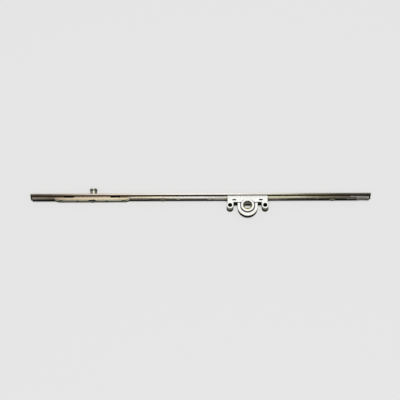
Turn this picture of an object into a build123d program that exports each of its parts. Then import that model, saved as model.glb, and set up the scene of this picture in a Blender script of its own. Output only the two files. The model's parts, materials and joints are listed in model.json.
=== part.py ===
from build123d import *
import os
from math import acos, ceil, cos, pi, radians, sin, sqrt, tan

# Espagnolette window lock: a drive rod slides behind a flat faceplate, moved by a rack and pinion
# in a die-cast gearbox, and carries an adjustable locking cam out through a slot in the faceplate.
# The origin is on the spindle axis at mid thickness. X runs along the rods, Y points from the
# spindle to the faceplate, and Z points to the handle side of the gearbox. All sizes are in mm.

# Rack and pinion
tooth_pitch = 4.0
tooth_count = 15
pressure_angle = radians(25)
tooth_addendum = 1.2
root_clearance = 0.3
flank_clearance = 0.06
flank_points = 3
pinion_face_width = 6.0
rack_web = 1.15
spindle_square = 7.0
journal_radius = 6.5
journal_clearance = 0.05

# Drive rod, made of flat strips that are riveted end to end
rod_width = 10.0
rod_thickness = 2.5
rod_edge = 0.25
rod_left = -264.0
rod_right = 149.0
rack_joint_x = 39.0
lap_length = 8.0
lap_gap = 0.1
joint_rivet_radius = 1.8
connector_x = 133.7
connector_teeth = 5
connector_tooth_pitch = 2.0
connector_tooth_depth = 0.7

# Faceplate
faceplate_left = -266.0
faceplate_right = 151.0
faceplate_width = 16.0
faceplate_thickness = 2.5
faceplate_edge = 0.4
running_gap = 0.3
screw_x = 66.0
screw_hole_radius = 2.15
screw_head_radius = 4.1
rod_slot_width = 4.6
stud_x = 104.0
stud_radius = 2.0
stud_head_radius = 4.0
stud_head_thickness = 0.6

# Locking cam and the strap that carries it
cam_x = -190.5
cam_offset = 1.6
cam_shank_radius = 2.5
cam_shank_clearance = 0.05
cam_neck_radius = 3.2
cam_slot_clearance = 0.4
cam_foot_radius = 5.0
cam_foot_thickness = 0.7
cam_pin_radius = 2.8
cam_cap_radius = 4.65
cam_cap_thickness = 2.6
cam_height = 8.5
cam_key_width = 2.4
cam_key_depth = 1.3
roller_radius = 4.4
roller_clearance = 0.1
cam_washer_radius = 4.8
cam_washer_thickness = 0.5
cam_peen_radius = 3.2
cam_peen_height = 0.7
strap_half_length = 45.65
strap_ramp = 5.0
strap_thickness = 2.5
strap_rise = 1.4
strap_rivet_offset = 38.6
strap_rivet_radius = 2.0
strap_rivet_head_radius = 2.9
strap_rivet_head = 0.5
strap_rivet_edge = 4.1
strap_bend = 2.0
base_plate_half_length = 22.2
base_plate_rivet_offset = 18.0
base_plate_rivet_radius = 1.5

# Gearbox housing, in two shells that meet at split_z
case_thickness = 12.5
case_half_length = 24.6
case_depth = 8.6
split_z = -1.0
handle_screw_spacing = 43.0
boss_radius = 4.2
boss_hole_radius = 2.6
boss_clearance = 0.15
band_center_y = -1.8
band_radius = 12.25
band_arm_top = 3.0
groove_center_y = -1.0
groove_radius = 9.05
groove_depth = 1.2
disc_radius = 8.15
spindle_opening_radius = 5.6
spindle_lip = 1.0
pocket_clearance = 0.4
wheel_side_clearance = 0.25
channel_clearance = 0.2
rear_band_center_y = -0.3
rear_band_radius = 11.75
rear_web_y = 4.0
catch_x = 16.3
catch_y = 7.0
catch_slot_length = 4.3
catch_slot_width = 1.6
catch_clearance = 0.2
catch_sunk = 2.4
tenon_x = 19.0
tenon_length = 4.0
tenon_thickness = 0.8
tenon_clearance = 0.05

# Sizes that follow from the ones above
pitch_radius = tooth_pitch * tooth_count / (2 * pi)
travel = pitch_radius * pi / 2
tip_radius = pitch_radius + tooth_addendum
root_radius = pitch_radius - tooth_addendum - root_clearance
rack_tip_y = pitch_radius - tooth_addendum
rack_root_y = pitch_radius + tooth_addendum + root_clearance
rod_front = rack_root_y + rack_web
rod_back = rod_front - rod_thickness
lap_y = rod_front - rod_thickness / 2
faceplate_back = rod_front + running_gap
faceplate_front = faceplate_back + faceplate_thickness
strap_back = rod_back - strap_rise
strap_front = strap_back + strap_thickness
strap_left = cam_x - strap_half_length
strap_right = cam_x + strap_half_length
strap_gap_half = strap_rivet_offset - strap_rivet_edge
end_screw_x = strap_left - travel - screw_hole_radius - running_gap
case_front = case_thickness / 2
case_bottom = faceplate_back - case_depth
boss_x = handle_screw_spacing / 2
rod_half = rod_width / 2
channel_half = rod_half + channel_clearance
channel_bottom = rack_tip_y - pocket_clearance
wheel_half = pinion_face_width / 2
pocket_half = wheel_half + wheel_side_clearance
pocket_radius = tip_radius + pocket_clearance
journal_end = case_front - spindle_lip - wheel_side_clearance / 2
print("travel each way", round(travel, 3), "backset", round(faceplate_front, 3))


def plate_at(y):
    # A plane across Y whose sketch X is the lock's X and whose normal points to the faceplate.
    return Plane(origin=(0, y, 0), x_dir=(1, 0, 0), z_dir=(0, 1, 0))


def save(builder, label):
    builder.part.label = label
    export_step(builder.part, f"parts/{label}.step")


os.makedirs("parts", exist_ok=True)
front_plane = plate_at(faceplate_front)
rod_plane = plate_at(rod_front)
stud_places = [(-stud_x, 0), (stud_x, 0)]
screw_places = [(-screw_x, 0), (screw_x, 0)]
tenon_z = (channel_half + case_front) / 2
stud_slot_length = 2 * (travel + stud_radius + running_gap)
screw_slot_length = 2 * (travel + screw_hole_radius + channel_clearance)

# Faceplate: countersunk fixing holes, stud holes, tenon slots and the long slot for the cam
cam_slot_radius = cam_neck_radius + cam_slot_clearance
with BuildPart(front_plane) as faceplate:
    with BuildSketch(front_plane):
        with Locations(((faceplate_left + faceplate_right) / 2, 0)):
            Rectangle(faceplate_right - faceplate_left, faceplate_width)
    extrude(amount=-faceplate_thickness)
    chamfer(faceplate.faces().sort_by(Axis.Y)[-1].edges(), faceplate_edge)
    with Locations(*screw_places, (end_screw_x, 0)):
        CounterSinkHole(screw_hole_radius, screw_head_radius, counter_sink_angle=90)
    with Locations(*stud_places):
        Hole(stud_radius)
    with BuildSketch(front_plane):
        with Locations((cam_x, 0)):
            SlotOverall(2 * (travel + cam_slot_radius), 2 * cam_slot_radius)
        with GridLocations(2 * tenon_x, 2 * tenon_z, 2, 2):
            Rectangle(tenon_length + 2 * tenon_clearance, tenon_thickness + 2 * tenon_clearance)
    extrude(amount=-faceplate_thickness, mode=Mode.SUBTRACT)
save(faceplate, "faceplate")

# Guide studs: rivets that hold the rod to the faceplate, with flat heads behind it
with BuildPart(front_plane) as guide_studs:
    with BuildSketch(front_plane):
        with Locations(*stud_places):
            Circle(stud_radius)
    extrude(amount=-(faceplate_front - rod_back + running_gap))
    with BuildSketch(plate_at(rod_back - running_gap)):
        with Locations(*stud_places):
            Circle(stud_head_radius)
    extrude(amount=-stud_head_thickness)
save(guide_studs, "guide_studs")


def strip(y, left, right):
    # A stretch of the rod's width, drawn on the plane across Y.
    with BuildSketch(plate_at(y)) as stretch:
        with Locations(((left + right) / 2, 0)):
            Rectangle(right - left, rod_width)
    return stretch.sketch


def ease_strip(builder):
    # Breaks the long edges of a strip before anything is cut into it.
    chamfer(builder.edges().filter_by(Axis.X), rod_edge)


# Left end of the drive rod: a fork that clears the end screw, thinned under the strap
left_lap_end = cam_x - strap_gap_half
with BuildPart(rod_plane) as drive_rod_left:
    extrude(strip(rod_front, rod_left, left_lap_end), amount=-rod_thickness)
    ease_strip(drive_rod_left)
    with BuildSketch(rod_plane):
        with Locations((end_screw_x, 0)):
            SlotOverall(screw_slot_length, rod_slot_width)
        with Locations((rod_left, 0)):
            Rectangle(2 * (end_screw_x - rod_left), rod_slot_width)
    extrude(amount=-rod_thickness, mode=Mode.SUBTRACT)
    lap = strip(strap_front, strap_left - lap_gap, left_lap_end)
    extrude(lap, amount=-rod_thickness, mode=Mode.SUBTRACT)
    with Locations((cam_x - strap_rivet_offset, 0)):
        Hole(strap_rivet_radius)
save(drive_rod_left, "drive_rod_left")

# Middle rod, from the strap to the rack bar, with slots for a guide stud and a fixing screw
middle_left = cam_x + strap_gap_half
with BuildPart(rod_plane) as drive_rod_middle:
    extrude(strip(rod_front, middle_left, -rack_joint_x - lap_gap), amount=-rod_thickness)
    ease_strip(drive_rod_middle)
    with BuildSketch(rod_plane):
        with Locations((-stud_x, 0)):
            SlotOverall(stud_slot_length, rod_slot_width)
        with Locations((-screw_x, 0)):
            SlotOverall(screw_slot_length, rod_slot_width)
    extrude(amount=-rod_thickness, mode=Mode.SUBTRACT)
    lap = strip(strap_front, middle_left, strap_right + lap_gap)
    extrude(lap, amount=-rod_thickness, mode=Mode.SUBTRACT)
    lap = strip(rod_front, -rack_joint_x - lap_length - lap_gap, -rack_joint_x)
    extrude(lap, amount=-rod_thickness / 2, mode=Mode.SUBTRACT)
    with Locations((cam_x + strap_rivet_offset, 0)):
        Hole(strap_rivet_radius)
    with Locations((-rack_joint_x - lap_length / 2, 0)):
        Hole(joint_rivet_radius)
save(drive_rod_middle, "drive_rod_middle")

# Right rod, from the rack bar to the end connector
with BuildPart(rod_plane) as drive_rod_right:
    extrude(strip(rod_front, rack_joint_x + lap_gap, connector_x), amount=-rod_thickness)
    ease_strip(drive_rod_right)
    with BuildSketch(rod_plane):
        with Locations((stud_x, 0)):
            SlotOverall(stud_slot_length, rod_slot_width)
        with Locations((screw_x, 0)):
            SlotOverall(screw_slot_length, rod_slot_width)
    extrude(amount=-rod_thickness, mode=Mode.SUBTRACT)
    for left in (rack_joint_x, connector_x - lap_length - lap_gap):
        lap = strip(rod_front, left, left + lap_length + lap_gap)
        extrude(lap, amount=-rod_thickness / 2, mode=Mode.SUBTRACT)
    with Locations((rack_joint_x + lap_length / 2, 0), (connector_x - lap_length / 2, 0)):
        Hole(joint_rivet_radius)
save(drive_rod_right, "drive_rod_right")

# End connector: a cast piece with clamping teeth that the next length of rod hooks on to
with BuildPart(rod_plane) as rod_end_connector:
    extrude(strip(rod_front, connector_x - lap_length, rod_right), amount=-rod_thickness)
    ease_strip(rod_end_connector)
    lap = strip(lap_y, connector_x - lap_length, connector_x + lap_gap)
    extrude(lap, amount=-rod_thickness, mode=Mode.SUBTRACT)
    with Locations((connector_x - lap_length / 2, 0)):
        Hole(joint_rivet_radius)
    tooth_half = connector_tooth_pitch / 2
    with BuildSketch(Plane.XY.offset(-rod_half)):
        with Locations(((connector_x + rod_right) / 2, rod_back)):
            with GridLocations(connector_tooth_pitch, connector_tooth_pitch, connector_teeth, 1):
                Polygon((-tooth_half, 0), (tooth_half, 0), (0, connector_tooth_depth), align=None)
    extrude(amount=rod_width, mode=Mode.SUBTRACT)
save(rod_end_connector, "rod_end_connector")

# Rack bar: pockets between two side rails, as deep and as wide as the pinion's teeth need
contact_half = sqrt(tip_radius ** 2 - rack_tip_y ** 2)
side_gaps = ceil((travel + contact_half) / tooth_pitch - 0.5)
rack_half_length = (side_gaps + 0.7) * tooth_pitch


def gap_half(y):
    # Half the width of a rack gap, which narrows away from the pinion at the pressure angle.
    return tooth_pitch / 4 + flank_clearance + (pitch_radius - y) * tan(pressure_angle)


with BuildPart(rod_plane) as rack_bar:
    rack_end = rack_joint_x + lap_length
    extrude(strip(rod_front, -rack_end, rack_end), amount=-rod_thickness)
    ease_strip(rack_bar)
    for left in (-rack_end, rack_joint_x - lap_gap):
        lap = strip(lap_y, left, left + lap_length + lap_gap)
        extrude(lap, amount=-rod_thickness, mode=Mode.SUBTRACT)
    thick_part = strip(rod_back + rod_edge, -rack_half_length, rack_half_length)
    extrude(thick_part, amount=-(rod_back + rod_edge - rack_tip_y))
    with BuildSketch(Plane.XY.offset(-pocket_half)):
        with GridLocations(tooth_pitch, tooth_pitch, 2 * side_gaps + 1, 1):
            Polygon(
                (-gap_half(rack_tip_y), rack_tip_y),
                (gap_half(rack_tip_y), rack_tip_y),
                (gap_half(rack_root_y), rack_root_y),
                (-gap_half(rack_root_y), rack_root_y),
                align=None,
            )
    extrude(amount=2 * pocket_half, mode=Mode.SUBTRACT)
    with Locations((-rack_joint_x - lap_length / 2, 0), (rack_joint_x + lap_length / 2, 0)):
        Hole(joint_rivet_radius)
save(rack_bar, "rack_bar")


def make_rivets(label, places, shank_radius):
    # Flush rivets through the full thickness of the rod.
    with BuildPart(rod_plane) as rivets:
        with BuildSketch(rod_plane):
            with Locations(*places):
                Circle(shank_radius)
        extrude(amount=-rod_thickness)
    save(rivets, label)


joint_rivet_x = rack_joint_x + lap_length / 2
make_rivets("rack_joint_rivets", [(-joint_rivet_x, 0), (joint_rivet_x, 0)], joint_rivet_radius)
make_rivets("connector_rivet", [(connector_x - lap_length / 2, 0)], joint_rivet_radius)

# Strap: bridges the gap in the rod, standing proud of it, with a ramp at each end
with BuildPart() as cam_strap:
    with BuildSketch(Plane.XY.offset(-rod_half)) as cam_strap_side:
        with BuildLine():
            Polyline(
                (strap_left, strap_front),
                (strap_left, rod_back),
                (strap_left + strap_ramp, strap_back),
                (strap_right - strap_ramp, strap_back),
                (strap_right, rod_back),
                (strap_right, strap_front),
                close=True,
            )
        make_face()
        fillet(cam_strap_side.vertices().group_by(Axis.Y)[0], strap_bend)
    extrude(amount=rod_width)
    with BuildSketch(plate_at(strap_front)):
        with Locations((cam_x - strap_rivet_offset, 0), (cam_x + strap_rivet_offset, 0)):
            Circle(strap_rivet_radius)
        with Locations((cam_x - base_plate_rivet_offset, 0), (cam_x + base_plate_rivet_offset, 0)):
            Circle(base_plate_rivet_radius)
        with Locations((cam_x, 0)):
            Circle(cam_shank_radius + cam_shank_clearance)
    extrude(amount=-strap_thickness, mode=Mode.SUBTRACT)
save(cam_strap, "cam_strap")

# Base plate between the strap and the faceplate, which the cam's neck bears on
with BuildPart() as cam_base_plate:
    with BuildSketch(rod_plane):
        with Locations((cam_x, 0)):
            Rectangle(2 * base_plate_half_length, rod_width)
            Circle(cam_shank_radius + cam_shank_clearance, mode=Mode.SUBTRACT)
            with GridLocations(2 * base_plate_rivet_offset, rod_width, 2, 1):
                Circle(base_plate_rivet_radius, mode=Mode.SUBTRACT)
    extrude(amount=-(rod_front - strap_front))
save(cam_base_plate, "cam_base_plate")

# Rivets of the strap: headed ones through the rod's thinned ends, flush ones in the base plate
with BuildPart() as strap_rivets:
    with BuildSketch(rod_plane):
        with Locations((cam_x, 0)):
            with GridLocations(2 * strap_rivet_offset, rod_width, 2, 1):
                Circle(strap_rivet_radius)
    extrude(amount=-(rod_front - strap_back))
    with BuildSketch(plate_at(strap_back)):
        with Locations((cam_x, 0)):
            with GridLocations(2 * strap_rivet_offset, rod_width, 2, 1):
                Circle(strap_rivet_head_radius)
    extrude(amount=-strap_rivet_head)
save(strap_rivets, "strap_rivets")

with BuildPart() as base_plate_rivets:
    with BuildSketch(rod_plane):
        with Locations((cam_x, 0)):
            with GridLocations(2 * base_plate_rivet_offset, rod_width, 2, 1):
                Circle(base_plate_rivet_radius)
    extrude(amount=-(rod_front - strap_back))
save(base_plate_rivets, "base_plate_rivets")

# Locking cam: a shank in the strap, a neck in the faceplate's slot, and a foot, pin and cap that
# stand off its axis
cam_foot_y = faceplate_front + running_gap
cam_cap_y = faceplate_front + cam_height
cam_peen_y = strap_back - cam_washer_thickness
foot_top = cam_foot_y + cam_foot_thickness
cap_under = cam_cap_y - cam_cap_thickness
with BuildPart() as locking_cam:
    with BuildSketch(Plane.XY):
        with BuildLine():
            Polyline(
                (cam_x, foot_top),
                (cam_x, cam_peen_y - cam_peen_height),
                (cam_x + cam_peen_radius, cam_peen_y - cam_peen_height),
                (cam_x + cam_peen_radius, cam_peen_y),
                (cam_x + cam_shank_radius, cam_peen_y),
                (cam_x + cam_shank_radius, rod_front),
                (cam_x + cam_neck_radius, rod_front),
                (cam_x + cam_neck_radius, foot_top),
                close=True,
            )
        make_face()
    revolve(axis=Axis((cam_x, 0, 0), (0, 1, 0)))
    head_x = cam_x + cam_offset
    with BuildSketch(Plane.XY):
        with BuildLine():
            Polyline(
                (head_x, cam_cap_y),
                (head_x, cam_foot_y),
                (head_x + cam_foot_radius, cam_foot_y),
                (head_x + cam_foot_radius, foot_top),
                (head_x + cam_pin_radius, foot_top),
                (head_x + cam_pin_radius, cap_under),
                (head_x + cam_cap_radius, cap_under),
                (head_x + cam_cap_radius, cam_cap_y),
                close=True,
            )
        make_face()
    revolve(axis=Axis((head_x, 0, 0), (0, 1, 0)))
    with BuildSketch(plate_at(cam_cap_y)):
        with Locations((head_x, 0)):
            Rectangle(cam_key_width, 2 * cam_cap_radius)
    extrude(amount=-cam_key_depth, mode=Mode.SUBTRACT)
save(locking_cam, "locking_cam")

# Roller that turns on the cam's pin, between its foot and its cap
with BuildPart() as cam_roller:
    with BuildSketch(plate_at(foot_top + roller_clearance)):
        with Locations((head_x, 0)):
            Circle(roller_radius)
            Circle(cam_pin_radius + roller_clearance, mode=Mode.SUBTRACT)
    extrude(amount=cap_under - foot_top - 2 * roller_clearance)
save(cam_roller, "cam_roller")

# Washer under the peened end of the cam's shank
with BuildPart() as cam_washer:
    with BuildSketch(plate_at(strap_back)):
        with Locations((cam_x, 0)):
            Circle(cam_washer_radius)
            Circle(cam_shank_radius + cam_shank_clearance, mode=Mode.SUBTRACT)
    extrude(amount=-cam_washer_thickness)
save(cam_washer, "cam_washer")

# Pinion: involute teeth between two journals, with a square hole for the handle's spindle
base_radius = pitch_radius * cos(pressure_angle)


def flank_point(radius, side):
    # A point of the tooth's flank, for a tooth that points along the sketch's X axis.
    turned = acos(base_radius / radius)
    grown = tan(turned) - turned
    at_pitch = (tooth_pitch / 4 - flank_clearance) / pitch_radius
    angle = side * (at_pitch + tan(pressure_angle) - pressure_angle - grown)
    return radius * cos(angle), radius * sin(angle)


flank_step = (tip_radius - base_radius) / (flank_points - 1)
flank_radii = [base_radius + i * flank_step for i in range(flank_points)]
foot_half = flank_point(base_radius, 1)[1] * root_radius / base_radius
with BuildSketch() as tooth:
    with BuildLine():
        Polyline(
            (root_radius - root_clearance, foot_half),
            *(flank_point(radius, 1) for radius in flank_radii),
            *(flank_point(radius, -1) for radius in reversed(flank_radii)),
            (root_radius - root_clearance, -foot_half),
            close=True,
        )
    make_face()

with BuildPart() as drive_pinion:
    with BuildSketch(Plane.XY.offset(-wheel_half)):
        Circle(root_radius)
        with PolarLocations(0, tooth_count, start_angle=90):
            add(tooth.sketch)
    extrude(amount=pinion_face_width)
    with BuildSketch(Plane.XY.offset(-journal_end)):
        Circle(journal_radius)
    extrude(amount=2 * journal_end)
    with BuildSketch(Plane.XY.offset(-journal_end)):
        Rectangle(spindle_square, spindle_square)
    extrude(amount=2 * journal_end, mode=Mode.SUBTRACT)
save(drive_pinion, "drive_pinion")


# The room inside both shells: the pinion's pocket, its bearings and the channel of the rack
with BuildPart() as case_inside:
    with BuildSketch(Plane.XY.offset(-pocket_half)):
        Circle(pocket_radius)
    extrude(amount=2 * pocket_half)
    with BuildSketch(Plane.XY.offset(-case_front + spindle_lip)):
        Circle(journal_radius + journal_clearance)
    extrude(amount=case_thickness - 2 * spindle_lip)
    with BuildSketch(Plane.XY.offset(-case_front)):
        Circle(spindle_opening_radius)
    extrude(amount=case_thickness)
    with BuildSketch(Plane.XY.offset(-channel_half)):
        with Locations((0, (channel_bottom + faceplate_back) / 2)):
            Rectangle(2 * case_half_length, faceplate_back - channel_bottom)
    extrude(amount=2 * channel_half)


def tenons(center_z):
    # Tongues that pass through the faceplate and are peened over flush with its front.
    with BuildSketch(front_plane) as pair:
        with Locations((-tenon_x, -center_z), (tenon_x, -center_z)):
            Rectangle(tenon_length, tenon_thickness)
    return pair.sketch


def sketch_upright(left, right, bottom, top):
    with Locations(((left + right) / 2, (bottom + top) / 2)):
        Rectangle(right - left, top - bottom)


# Front shell: the plate, the two handle screw bosses on their legs, and the band round the pinion
leg_outer = min(boss_x + boss_radius, case_half_length)
with BuildPart() as gearbox_front_shell:
    with BuildSketch(Plane.XY.offset(split_z)):
        sketch_upright(-case_half_length, case_half_length, case_bottom, faceplate_back)
        sketch_upright(-band_radius, band_radius, band_center_y, case_bottom)
        with Locations((0, band_center_y)):
            Circle(band_radius)
        sketch_upright(boss_x - boss_radius, leg_outer, 0, case_bottom)
        sketch_upright(-leg_outer, boss_radius - boss_x, 0, case_bottom)
    extrude(amount=case_front - split_z)
    with BuildSketch(Plane.XY.offset(-case_front)):
        with Locations((-boss_x, 0), (boss_x, 0)):
            Circle(boss_radius)
    extrude(amount=case_thickness)
    with BuildSketch(Plane.XY.offset(case_front - groove_depth)):
        with Locations((0, groove_center_y)):
            Circle(groove_radius)
        sketch_upright(-groove_radius, groove_radius, groove_center_y, case_bottom)
        sketch_upright(-band_radius, band_radius, band_arm_top, case_bottom)
        Circle(disc_radius, mode=Mode.SUBTRACT)
    extrude(amount=groove_depth, mode=Mode.SUBTRACT)
    add(case_inside.part, mode=Mode.SUBTRACT)
    with BuildSketch(Plane.XY.offset(-case_front)):
        with Locations((-boss_x, 0), (boss_x, 0)):
            Circle(boss_hole_radius)
        with Locations((-catch_x, catch_y), (catch_x, catch_y)):
            Rectangle(catch_slot_length, catch_slot_width)
    extrude(amount=case_thickness, mode=Mode.SUBTRACT)
    extrude(tenons(tenon_z), amount=-faceplate_thickness)
save(gearbox_front_shell, "gearbox_front_shell")

# Rear shell: stepped in round the pinion, notched round the bosses, caught in the front shell
with BuildPart() as gearbox_rear_shell:
    with BuildSketch(Plane.XY.offset(-case_front)):
        sketch_upright(-case_half_length, case_half_length, rear_web_y, faceplate_back)
        with Locations((0, rear_band_center_y)):
            Circle(rear_band_radius)
        with Locations((-boss_x, 0), (boss_x, 0)):
            Circle(boss_radius + boss_clearance, mode=Mode.SUBTRACT)
    extrude(amount=case_front + split_z)
    add(case_inside.part, mode=Mode.SUBTRACT)
    with BuildSketch(Plane.XY.offset(split_z)):
        with Locations((-catch_x, catch_y), (catch_x, catch_y)):
            Rectangle(catch_slot_length - 2 * catch_clearance, catch_slot_width - 2 * catch_clearance)
    extrude(amount=case_front - catch_sunk - split_z)
    extrude(tenons(-tenon_z), amount=-faceplate_thickness)
save(gearbox_rear_shell, "gearbox_rear_shell")
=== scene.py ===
import json
from math import cos, pi, radians, sin

import bmesh
import bpy
import numpy as np
from mathutils import Matrix, Vector
from mathutils.geometry import tessellate_polygon

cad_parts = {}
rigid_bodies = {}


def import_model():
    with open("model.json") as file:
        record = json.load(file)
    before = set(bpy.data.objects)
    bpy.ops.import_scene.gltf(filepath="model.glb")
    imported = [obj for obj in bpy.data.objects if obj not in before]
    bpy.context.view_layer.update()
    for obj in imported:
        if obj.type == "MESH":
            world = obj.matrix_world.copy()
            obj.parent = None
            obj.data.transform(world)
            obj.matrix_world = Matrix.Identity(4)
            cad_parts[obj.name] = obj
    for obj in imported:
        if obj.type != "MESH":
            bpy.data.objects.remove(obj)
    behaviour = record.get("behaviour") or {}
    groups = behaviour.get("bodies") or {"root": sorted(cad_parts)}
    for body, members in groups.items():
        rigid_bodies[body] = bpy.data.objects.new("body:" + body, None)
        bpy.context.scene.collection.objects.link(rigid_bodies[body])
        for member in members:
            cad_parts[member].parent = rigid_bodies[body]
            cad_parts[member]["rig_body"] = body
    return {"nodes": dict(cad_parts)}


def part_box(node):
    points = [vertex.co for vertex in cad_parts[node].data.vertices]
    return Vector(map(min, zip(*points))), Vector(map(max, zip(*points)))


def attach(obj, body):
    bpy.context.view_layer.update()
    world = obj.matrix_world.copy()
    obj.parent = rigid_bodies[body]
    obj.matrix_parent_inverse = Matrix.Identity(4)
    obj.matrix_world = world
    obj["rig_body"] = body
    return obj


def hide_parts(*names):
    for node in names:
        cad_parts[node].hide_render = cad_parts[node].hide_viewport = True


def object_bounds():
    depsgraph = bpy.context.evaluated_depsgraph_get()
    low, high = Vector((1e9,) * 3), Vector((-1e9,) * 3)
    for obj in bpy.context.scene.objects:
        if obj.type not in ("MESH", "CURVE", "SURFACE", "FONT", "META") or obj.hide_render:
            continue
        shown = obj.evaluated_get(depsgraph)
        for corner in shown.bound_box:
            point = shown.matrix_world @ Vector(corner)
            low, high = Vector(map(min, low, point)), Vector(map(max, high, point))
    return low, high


# Looks of an espagnolette window lock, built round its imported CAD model. All lengths are metres.
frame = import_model()
cadLow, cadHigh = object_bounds()
mm = 0.001
print("frame loaded:", len(frame["nodes"]), "nodes")


# Small helpers for node trees
def addNode(tree, kind, **settings):
    node = tree.nodes.new(kind)
    for key, value in settings.items():
        setattr(node, key, value)
    return node


def setSocket(tree, socket, value):
    # A number, vector or colour is set on the socket, and another node's output is linked to it
    if isinstance(value, (int, float)):
        socket.default_value = value
    elif isinstance(value, tuple):
        socket.default_value = (*value, 1) if socket.type == "RGBA" else value
    else:
        tree.links.new(value, socket)


def setInputs(tree, node, values):
    for key, value in values.items():
        setSocket(tree, node.inputs[key], value)


def mathNode(tree, operation, *values, clamp=False):
    node = addNode(tree, "ShaderNodeMath", operation=operation, use_clamp=clamp)
    for socket, value in zip(node.inputs, values):
        setSocket(tree, socket, value)
    return node.outputs[0]


def mixColor(tree, factor, first, second, blend="MIX"):
    node = addNode(tree, "ShaderNodeMix", data_type="RGBA", blend_type=blend)
    setInputs(tree, node, {0: factor, 6: first, 7: second})    # 6 and 7 are its two colours
    return node.outputs[2]


def smoothStep(tree, value, low, high):
    # From 0 at low to 1 at high, also where low is the larger one
    node = addNode(tree, "ShaderNodeMapRange", interpolation_type="SMOOTHSTEP")
    setInputs(tree, node, {"Value": value, "From Min": low, "From Max": high})
    return node.outputs["Result"]


def axesOf(tree, vector):
    node = addNode(tree, "ShaderNodeSeparateXYZ")
    tree.links.new(vector, node.inputs[0])
    return node.outputs


def addNoise(tree, place, scale, detail=2, roughness=0.5):
    node = addNode(tree, "ShaderNodeTexNoise")
    setInputs(tree, node, {"Vector": place, "Scale": scale, "Detail": detail, "Roughness": roughness})
    return node.outputs["Fac"]


def colorRamp(tree, factor, stops):
    # Stops are a place and a colour each: the factor is 0 at the first place and 1 at the last
    node = addNode(tree, "ShaderNodeValToRGB")
    elements = node.color_ramp.elements
    while len(elements) < len(stops):
        elements.new(0.5)
    low, high = stops[0][0], stops[-1][0]
    for element, (place, color) in zip(elements, stops):
        element.position = (place - low) / (high - low)
        element.color = (*color, 1)
    tree.links.new(factor, node.inputs["Fac"])
    return node.outputs["Color"]


def newGroup(name, inputs, outputs):
    group = bpy.data.node_groups.new(name, "ShaderNodeTree")
    for label, kind, value in inputs:
        socket = group.interface.new_socket(name=label, in_out="INPUT", socket_type="NodeSocket" + kind)
        socket.default_value = value
    for label, kind in outputs:
        group.interface.new_socket(name=label, in_out="OUTPUT", socket_type="NodeSocket" + kind)
    inside = group.nodes.new("NodeGroupInput").outputs
    outside = group.nodes.new("NodeGroupOutput").inputs
    return group, inside, outside


def useGroup(tree, group, **values):
    node = addNode(tree, "ShaderNodeGroup", node_tree=group)
    setInputs(tree, node, values)
    return node.outputs


# Clouds in the plating: two sizes of noise shift the colour and the gloss
cloudNoise = {
    "largeDetail": 4,
    "largeRoughness": 0.62,
    "smallDetail": 3,
    "spread": (0.38, 0.64),
    "speckle": 0.5,
}


def makePlatingClouds(values):
    group, inside, outside = newGroup(
        "platingClouds",
        [("Place", "Vector", (0, 0, 0)), ("Patch", "Float", 60.0), ("Speckle", "Float", 900.0),
         ("Plain", "Color", (1, 1, 1, 1)), ("Clouded", "Color", (0.5, 0.5, 0.5, 1)),
         ("Amount", "Float", 0.5)],
        [("Color", "Color"), ("Mask", "Float"), ("Fine", "Float")],
    )
    place = inside["Place"]
    large = addNoise(group, place, inside["Patch"], values["largeDetail"], values["largeRoughness"])
    small = addNoise(group, place, inside["Speckle"], values["smallDetail"])
    patches = smoothStep(group, large, *values["spread"])
    speckled = mathNode(group, "MULTIPLY_ADD", small, values["speckle"], -values["speckle"] / 2)
    mask = mathNode(group, "ADD", patches, speckled, clamp=True)
    factor = mathNode(group, "MULTIPLY", mask, inside["Amount"])
    group.links.new(mixColor(group, factor, inside["Plain"], inside["Clouded"]), outside["Color"])
    group.links.new(mask, outside["Mask"])
    group.links.new(small, outside["Fine"])
    return group


# Lines left by rolling and drawing: noise that is stretched along the strip
lineNoise = {"along": 26.0, "across": 2600.0, "detail": 3, "roughness": 0.7}


def makeRollingLines(values):
    stretch = (values["along"], values["across"], values["across"])
    group, inside, outside = newGroup(
        "rollingLines",
        [("Place", "Vector", (0, 0, 0)), ("Stretch", "Vector", stretch)],
        [("Lines", "Float")],
    )
    scaled = addNode(group, "ShaderNodeVectorMath", operation="MULTIPLY")
    group.links.new(inside["Place"], scaled.inputs[0])
    group.links.new(inside["Stretch"], scaled.inputs[1])
    lines = addNoise(group, scaled.outputs[0], 1, values["detail"], values["roughness"])
    group.links.new(lines, outside["Lines"])
    return group


# Painted shade along the long edges: a band by the distance from the middle plane, broken up by noise
bandNoise = {"scale": 220, "detail": 3, "slope": -2.0, "offset": 1.9}


def makeEdgeBand(values):
    group, inside, outside = newGroup(
        "edgeBand",
        [("Place", "Vector", (0, 0, 0)), ("Half", "Float", 5 * mm), ("Width", "Float", 0.4 * mm),
         ("Broken", "Float", 0.5)],
        [("Mask", "Float")],
    )
    height = mathNode(group, "ABSOLUTE", axesOf(group, inside["Place"])["Z"])
    distance = mathNode(group, "SUBTRACT", inside["Half"], height)
    share = mathNode(group, "DIVIDE", distance, inside["Width"])
    band = mathNode(group, "SUBTRACT", 1.0, share, clamp=True)
    noise = addNoise(group, inside["Place"], values["scale"], values["detail"])
    worn = mathNode(group, "MULTIPLY_ADD", noise, values["slope"], values["offset"], clamp=True)
    kept = mathNode(group, "SUBTRACT", 1.0, mathNode(group, "MULTIPLY", worn, inside["Broken"]))
    group.links.new(mathNode(group, "MULTIPLY", band, kept, clamp=True), outside["Mask"])
    return group


# Grease and painted shade on the walls inside the rod that look up and lie below its top edge: the floors
# of its slots
slotLimits = {"leastDepth": 0.8 * mm, "leastRise": 0.15}


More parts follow.
